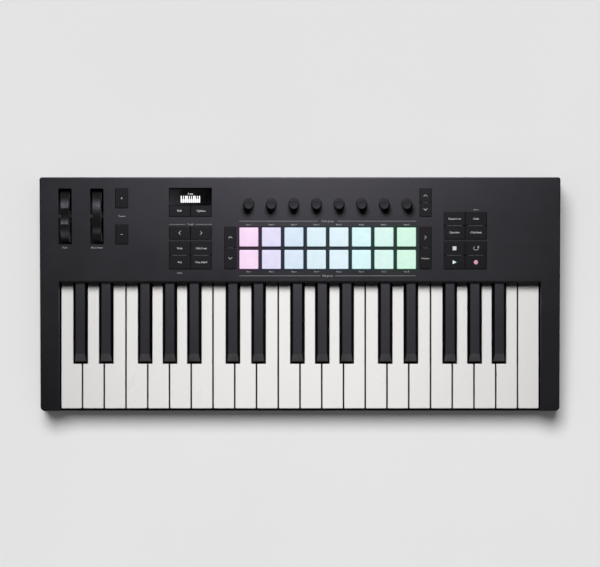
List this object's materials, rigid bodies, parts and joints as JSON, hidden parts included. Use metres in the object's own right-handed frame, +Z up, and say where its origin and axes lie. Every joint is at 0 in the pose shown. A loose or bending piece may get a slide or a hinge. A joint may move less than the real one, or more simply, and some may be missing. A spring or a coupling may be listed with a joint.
{
  "type": "keyboard synthesizer controller",
  "caption": "Slim black keyboard controller: full-size keys, two bend wheels, a small display, endless knobs, lit pads and buttons on a sloping panel.",
  "frame": {"origin": "on the surface the instrument stands on, under the middle of its case", "axes": "+X to the player's right along the keyboard, +Y away from the player, +Z up"},
  "size_m": [0.556, 0.25, 0.0755],
  "materials": {
    "white_key": "smooth satin gloss",
    "black_key": "soft satin",
    "knob": "ribbed, rubberised",
    "wheel": "rubberised",
    "pad_silicone": "translucent silicone, lit from below",
    "button": "soft matte",
    "case": "fine moulded texture",
    "chassis": "plain moulded",
    "spring_steel": "stamped spring steel",
    "circuit_board": "solder mask",
    "display_glass": "polished",
    "socket": "moulded, with metal contacts",
    "foot_rubber": "matte",
    "screw_steel": "blackened"
  },
  "bodies": {
    "case": {"top_case": "case", "bottom_case": "case", "key_chassis": "chassis", "key_springs": "spring_steel", "circuit_boards": "circuit_board", "wheel_bracket": "chassis", "display_module": "display_glass", "rear_sockets": "socket", "rubber_feet": "foot_rubber", "case_screws": "screw_steel"},
    "white_key_c1": {"white_key_c1": "white_key"},
    "white_key_d1": {"white_key_d1": "white_key"},
    "white_key_e1": {"white_key_e1": "white_key"},
    "white_key_f1": {"white_key_f1": "white_key"},
    "white_key_g1": {"white_key_g1": "white_key"},
    "white_key_a1": {"white_key_a1": "white_key"},
    "white_key_b1": {"white_key_b1": "white_key"},
    "white_key_c2": {"white_key_c2": "white_key"},
    "white_key_d2": {"white_key_d2": "white_key"},
    "white_key_e2": {"white_key_e2": "white_key"},
    "white_key_f2": {"white_key_f2": "white_key"},
    "white_key_g2": {"white_key_g2": "white_key"},
    "white_key_a2": {"white_key_a2": "white_key"},
    "white_key_b2": {"white_key_b2": "white_key"},
    "white_key_c3": {"white_key_c3": "white_key"},
    "white_key_d3": {"white_key_d3": "white_key"},
    "white_key_e3": {"white_key_e3": "white_key"},
    "white_key_f3": {"white_key_f3": "white_key"},
    "white_key_g3": {"white_key_g3": "white_key"},
    "white_key_a3": {"white_key_a3": "white_key"},
    "white_key_b3": {"white_key_b3": "white_key"},
    "white_key_c4": {"white_key_c4": "white_key"},
    "black_key_cs1": {"black_key_cs1": "black_key"},
    "black_key_ds1": {"black_key_ds1": "black_key"},
    "black_key_fs1": {"black_key_fs1": "black_key"},
    "black_key_gs1": {"black_key_gs1": "black_key"},
    "black_key_as1": {"black_key_as1": "black_key"},
    "black_key_cs2": {"black_key_cs2": "black_key"},
    "black_key_ds2": {"black_key_ds2": "black_key"},
    "black_key_fs2": {"black_key_fs2": "black_key"},
    "black_key_gs2": {"black_key_gs2": "black_key"},
    "black_key_as2": {"black_key_as2": "black_key"},
    "black_key_cs3": {"black_key_cs3": "black_key"},
    "black_key_ds3": {"black_key_ds3": "black_key"},
    "black_key_fs3": {"black_key_fs3": "black_key"},
    "black_key_gs3": {"black_key_gs3": "black_key"},
    "black_key_as3": {"black_key_as3": "black_key"},
    "encoder_knob_1": {"encoder_knob_1": "knob"},
    "encoder_knob_2": {"encoder_knob_2": "knob"},
    "encoder_knob_3": {"encoder_knob_3": "knob"},
    "encoder_knob_4": {"encoder_knob_4": "knob"},
    "encoder_knob_5": {"encoder_knob_5": "knob"},
    "encoder_knob_6": {"encoder_knob_6": "knob"},
    "encoder_knob_7": {"encoder_knob_7": "knob"},
    "encoder_knob_8": {"encoder_knob_8": "knob"},
    "pitch_wheel": {"pitch_wheel": "wheel"},
    "mod_wheel": {"mod_wheel": "wheel"},
    "pads": {"pad_mat": "pad_silicone"},
    "left_buttons": {"left_buttons": "button"},
    "right_buttons": {"right_buttons": "button"}
  },
  "joints": [
    {"name": "white_key_c1_press", "type": "hinge", "parent": "case", "child": "white_key_c1", "pos_m": [-0.24941, 0.042, 0.033], "axis": [1, 0, 0], "range_deg": [0, 3.4], "stiffness_Nm_per_rad": 1.1, "springref_deg": -5.16},
    {"name": "white_key_d1_press", "type": "hinge", "parent": "case", "child": "white_key_d1", "pos_m": [-0.22148, 0.042, 0.033], "axis": [1, 0, 0], "range_deg": [0, 3.4], "stiffness_Nm_per_rad": 1.1, "springref_deg": -5.16},
    {"name": "white_key_e1_press", "type": "hinge", "parent": "case", "child": "white_key_e1", "pos_m": [-0.1937, 0.042, 0.033], "axis": [1, 0, 0], "range_deg": [0, 3.4], "stiffness_Nm_per_rad": 1.1, "springref_deg": -5.16},
    {"name": "white_key_f1_press", "type": "hinge", "parent": "case", "child": "white_key_f1", "pos_m": [-0.1798, 0.042, 0.033], "axis": [1, 0, 0], "range_deg": [0, 3.4], "stiffness_Nm_per_rad": 1.1, "springref_deg": -5.16},
    {"name": "white_key_g1_press", "type": "hinge", "parent": "case", "child": "white_key_g1", "pos_m": [-0.15272, 0.042, 0.033], "axis": [1, 0, 0], "range_deg": [0, 3.4], "stiffness_Nm_per_rad": 1.1, "springref_deg": -5.16},
    {"name": "white_key_a1_press", "type": "hinge", "parent": "case", "child": "white_key_a1", "pos_m": [-0.12634, 0.042, 0.033], "axis": [1, 0, 0], "range_deg": [0, 3.4], "stiffness_Nm_per_rad": 1.1, "springref_deg": -5.16},
    {"name": "white_key_b1_press", "type": "hinge", "parent": "case", "child": "white_key_b1", "pos_m": [-0.09981, 0.042, 0.033], "axis": [1, 0, 0], "range_deg": [0, 3.4], "stiffness_Nm_per_rad": 1.1, "springref_deg": -5.16},
    {"name": "white_key_c2_press", "type": "hinge", "parent": "case", "child": "white_key_c2", "pos_m": [-0.08611, 0.042, 0.033], "axis": [1, 0, 0], "range_deg": [0, 3.4], "stiffness_Nm_per_rad": 1.1, "springref_deg": -5.16},
    {"name": "white_key_d2_press", "type": "hinge", "parent": "case", "child": "white_key_d2", "pos_m": [-0.05817, 0.042, 0.033], "axis": [1, 0, 0], "range_deg": [0, 3.4], "stiffness_Nm_per_rad": 1.1, "springref_deg": -5.16},
    {"name": "white_key_e2_press", "type": "hinge", "parent": "case", "child": "white_key_e2", "pos_m": [-0.03039, 0.042, 0.033], "axis": [1, 0, 0], "range_deg": [0, 3.4], "stiffness_Nm_per_rad": 1.1, "springref_deg": -5.16},
    {"name": "white_key_f2_press", "type": "hinge", "parent": "case", "child": "white_key_f2", "pos_m": [-0.01649, 0.042, 0.033], "axis": [1, 0, 0], "range_deg": [0, 3.4], "stiffness_Nm_per_rad": 1.1, "springref_deg": -5.16},
    {"name": "white_key_g2_press", "type": "hinge", "parent": "case", "child": "white_key_g2", "pos_m": [0.01059, 0.042, 0.033], "axis": [1, 0, 0], "range_deg": [0, 3.4], "stiffness_Nm_per_rad": 1.1, "springref_deg": -5.16},
    {"name": "white_key_a2_press", "type": "hinge", "parent": "case", "child": "white_key_a2", "pos_m": [0.03697, 0.042, 0.033], "axis": [1, 0, 0], "range_deg": [0, 3.4], "stiffness_Nm_per_rad": 1.1, "springref_deg": -5.16},
    {"name": "white_key_b2_press", "type": "hinge", "parent": "case", "child": "white_key_b2", "pos_m": [0.0635, 0.042, 0.033], "axis": [1, 0, 0], "range_deg": [0, 3.4], "stiffness_Nm_per_rad": 1.1, "springref_deg": -5.16},
    {"name": "white_key_c3_press", "type": "hinge", "parent": "case", "child": "white_key_c3", "pos_m": [0.0772, 0.042, 0.033], "axis": [1, 0, 0], "range_deg": [0, 3.4], "stiffness_Nm_per_rad": 1.1, "springref_deg": -5.16},
    {"name": "white_key_d3_press", "type": "hinge", "parent": "case", "child": "white_key_d3", "pos_m": [0.10514, 0.042, 0.033], "axis": [1, 0, 0], "range_deg": [0, 3.4], "stiffness_Nm_per_rad": 1.1, "springref_deg": -5.16},
    {"name": "white_key_e3_press", "type": "hinge", "parent": "case", "child": "white_key_e3", "pos_m": [0.13292, 0.042, 0.033], "axis": [1, 0, 0], "range_deg": [0, 3.4], "stiffness_Nm_per_rad": 1.1, "springref_deg": -5.16},
    {"name": "white_key_f3_press", "type": "hinge", "parent": "case", "child": "white_key_f3", "pos_m": [0.14682, 0.042, 0.033], "axis": [1, 0, 0], "range_deg": [0, 3.4], "stiffness_Nm_per_rad": 1.1, "springref_deg": -5.16},
    {"name": "white_key_g3_press", "type": "hinge", "parent": "case", "child": "white_key_g3", "pos_m": [0.1739, 0.042, 0.033], "axis": [1, 0, 0], "range_deg": [0, 3.4], "stiffness_Nm_per_rad": 1.1, "springref_deg": -5.16},
    {"name": "white_key_a3_press", "type": "hinge", "parent": "case", "child": "white_key_a3", "pos_m": [0.20028, 0.042, 0.033], "axis": [1, 0, 0], "range_deg": [0, 3.4], "stiffness_Nm_per_rad": 1.1, "springref_deg": -5.16},
    {"name": "white_key_b3_press", "type": "hinge", "parent": "case", "child": "white_key_b3", "pos_m": [0.22681, 0.042, 0.033], "axis": [1, 0, 0], "range_deg": [0, 3.4], "stiffness_Nm_per_rad": 1.1, "springref_deg": -5.16},
    {"name": "white_key_c4_press", "type": "hinge", "parent": "case", "child": "white_key_c4", "pos_m": [0.24496, 0.042, 0.033], "axis": [1, 0, 0], "range_deg": [0, 3.4], "stiffness_Nm_per_rad": 1.1, "springref_deg": -5.16},
    {"name": "black_key_cs1_press", "type": "hinge", "parent": "case", "child": "black_key_cs1", "pos_m": [-0.23525, 0.042, 0.033], "axis": [1, 0, 0], "range_deg": [0, 3.4], "stiffness_Nm_per_rad": 1.1, "springref_deg": -5.16},
    {"name": "black_key_ds1_press", "type": "hinge", "parent": "case", "child": "black_key_ds1", "pos_m": [-0.20772, 0.042, 0.033], "axis": [1, 0, 0], "range_deg": [0, 3.4], "stiffness_Nm_per_rad": 1.1, "springref_deg": -5.16},
    {"name": "black_key_fs1_press", "type": "hinge", "parent": "case", "child": "black_key_fs1", "pos_m": [-0.16601, 0.042, 0.033], "axis": [1, 0, 0], "range_deg": [0, 3.4], "stiffness_Nm_per_rad": 1.1, "springref_deg": -5.16},
    {"name": "black_key_gs1_press", "type": "hinge", "parent": "case", "child": "black_key_gs1", "pos_m": [-0.13943, 0.042, 0.033], "axis": [1, 0, 0], "range_deg": [0, 3.4], "stiffness_Nm_per_rad": 1.1, "springref_deg": -5.16},
    {"name": "black_key_as1_press", "type": "hinge", "parent": "case", "child": "black_key_as1", "pos_m": [-0.11325, 0.042, 0.033], "axis": [1, 0, 0], "range_deg": [0, 3.4], "stiffness_Nm_per_rad": 1.1, "springref_deg": -5.16},
    {"name": "black_key_cs2_press", "type": "hinge", "parent": "case", "child": "black_key_cs2", "pos_m": [-0.07194, 0.042, 0.033], "axis": [1, 0, 0], "range_deg": [0, 3.4], "stiffness_Nm_per_rad": 1.1, "springref_deg": -5.16},
    {"name": "black_key_ds2_press", "type": "hinge", "parent": "case", "child": "black_key_ds2", "pos_m": [-0.04441, 0.042, 0.033], "axis": [1, 0, 0], "range_deg": [0, 3.4], "stiffness_Nm_per_rad": 1.1, "springref_deg": -5.16},
    {"name": "black_key_fs2_press", "type": "hinge", "parent": "case", "child": "black_key_fs2", "pos_m": [-0.0027, 0.042, 0.033], "axis": [1, 0, 0], "range_deg": [0, 3.4], "stiffness_Nm_per_rad": 1.1, "springref_deg": -5.16},
    {"name": "black_key_gs2_press", "type": "hinge", "parent": "case", "child": "black_key_gs2", "pos_m": [0.02388, 0.042, 0.033], "axis": [1, 0, 0], "range_deg": [0, 3.4], "stiffness_Nm_per_rad": 1.1, "springref_deg": -5.16},
    {"name": "black_key_as2_press", "type": "hinge", "parent": "case", "child": "black_key_as2", "pos_m": [0.05006, 0.042, 0.033], "axis": [1, 0, 0], "range_deg": [0, 3.4], "stiffness_Nm_per_rad": 1.1, "springref_deg": -5.16},
    {"name": "black_key_cs3_press", "type": "hinge", "parent": "case", "child": "black_key_cs3", "pos_m": [0.09137, 0.042, 0.033], "axis": [1, 0, 0], "range_deg": [0, 3.4], "stiffness_Nm_per_rad": 1.1, "springref_deg": -5.16},
    {"name": "black_key_ds3_press", "type": "hinge", "parent": "case", "child": "black_key_ds3", "pos_m": [0.1189, 0.042, 0.033], "axis": [1, 0, 0], "range_deg": [0, 3.4], "stiffness_Nm_per_rad": 1.1, "springref_deg": -5.16},
    {"name": "black_key_fs3_press", "type": "hinge", "parent": "case", "child": "black_key_fs3", "pos_m": [0.16061, 0.042, 0.033], "axis": [1, 0, 0], "range_deg": [0, 3.4], "stiffness_Nm_per_rad": 1.1, "springref_deg": -5.16},
    {"name": "black_key_gs3_press", "type": "hinge", "parent": "case", "child": "black_key_gs3", "pos_m": [0.18719, 0.042, 0.033], "axis": [1, 0, 0], "range_deg": [0, 3.4], "stiffness_Nm_per_rad": 1.1, "springref_deg": -5.16},
    {"name": "black_key_as3_press", "type": "hinge", "parent": "case", "child": "black_key_as3", "pos_m": [0.21337, 0.042, 0.033], "axis": [1, 0, 0], "range_deg": [0, 3.4], "stiffness_Nm_per_rad": 1.1, "springref_deg": -5.16},
    {"name": "encoder_knob_1_turn", "type": "hinge", "parent": "case", "child": "encoder_knob_1", "pos_m": [-0.0546, 0.097, 0.06063], "axis": [0, -0.0785, 0.9969], "continuous": true},
    {"name": "encoder_knob_2_turn", "type": "hinge", "parent": "case", "child": "encoder_knob_2", "pos_m": [-0.03055, 0.097, 0.06063], "axis": [0, -0.0785, 0.9969], "continuous": true},
    {"name": "encoder_knob_3_turn", "type": "hinge", "parent": "case", "child": "encoder_knob_3", "pos_m": [-0.0065, 0.097, 0.06063], "axis": [0, -0.0785, 0.9969], "continuous": true},
    {"name": "encoder_knob_4_turn", "type": "hinge", "parent": "case", "child": "encoder_knob_4", "pos_m": [0.01755, 0.097, 0.06063], "axis": [0, -0.0785, 0.9969], "continuous": true},
    {"name": "encoder_knob_5_turn", "type": "hinge", "parent": "case", "child": "encoder_knob_5", "pos_m": [0.0416, 0.097, 0.06063], "axis": [0, -0.0785, 0.9969], "continuous": true},
    {"name": "encoder_knob_6_turn", "type": "hinge", "parent": "case", "child": "encoder_knob_6", "pos_m": [0.06565, 0.097, 0.06063], "axis": [0, -0.0785, 0.9969], "continuous": true},
    {"name": "encoder_knob_7_turn", "type": "hinge", "parent": "case", "child": "encoder_knob_7", "pos_m": [0.0897, 0.097, 0.06063], "axis": [0, -0.0785, 0.9969], "continuous": true},
    {"name": "encoder_knob_8_turn", "type": "hinge", "parent": "case", "child": "encoder_knob_8", "pos_m": [0.11375, 0.097, 0.06063], "axis": [0, -0.0785, 0.9969], "continuous": true},
    {"name": "pitch_wheel_bend", "type": "hinge", "parent": "case", "child": "pitch_wheel", "pos_m": [-0.251, 0.0833, 0.04156], "axis": [-1, 0, 0], "range_deg": [-45, 45], "stiffness_Nm_per_rad": 0.03},
    {"name": "mod_wheel_turn", "type": "hinge", "parent": "case", "child": "mod_wheel", "pos_m": [-0.217, 0.0833, 0.04156], "axis": [-1, 0, 0], "range_deg": [0, 80]},
    {"name": "pads_press", "type": "slide", "parent": "case", "child": "pads", "axis": [0, 0.0785, -0.9969], "range_m": [0, 0.0004], "stiffness_N_per_m": 2000, "springref_m": -0.001},
    {"name": "left_buttons_press", "type": "slide", "parent": "case", "child": "left_buttons", "axis": [0, 0.0785, -0.9969], "range_m": [0, 0.0006], "stiffness_N_per_m": 600, "springref_m": -0.001},
    {"name": "right_buttons_press", "type": "slide", "parent": "case", "child": "right_buttons", "axis": [0, 0.0785, -0.9969], "range_m": [0, 0.0006], "stiffness_N_per_m": 600, "springref_m": -0.001}
  ]
}
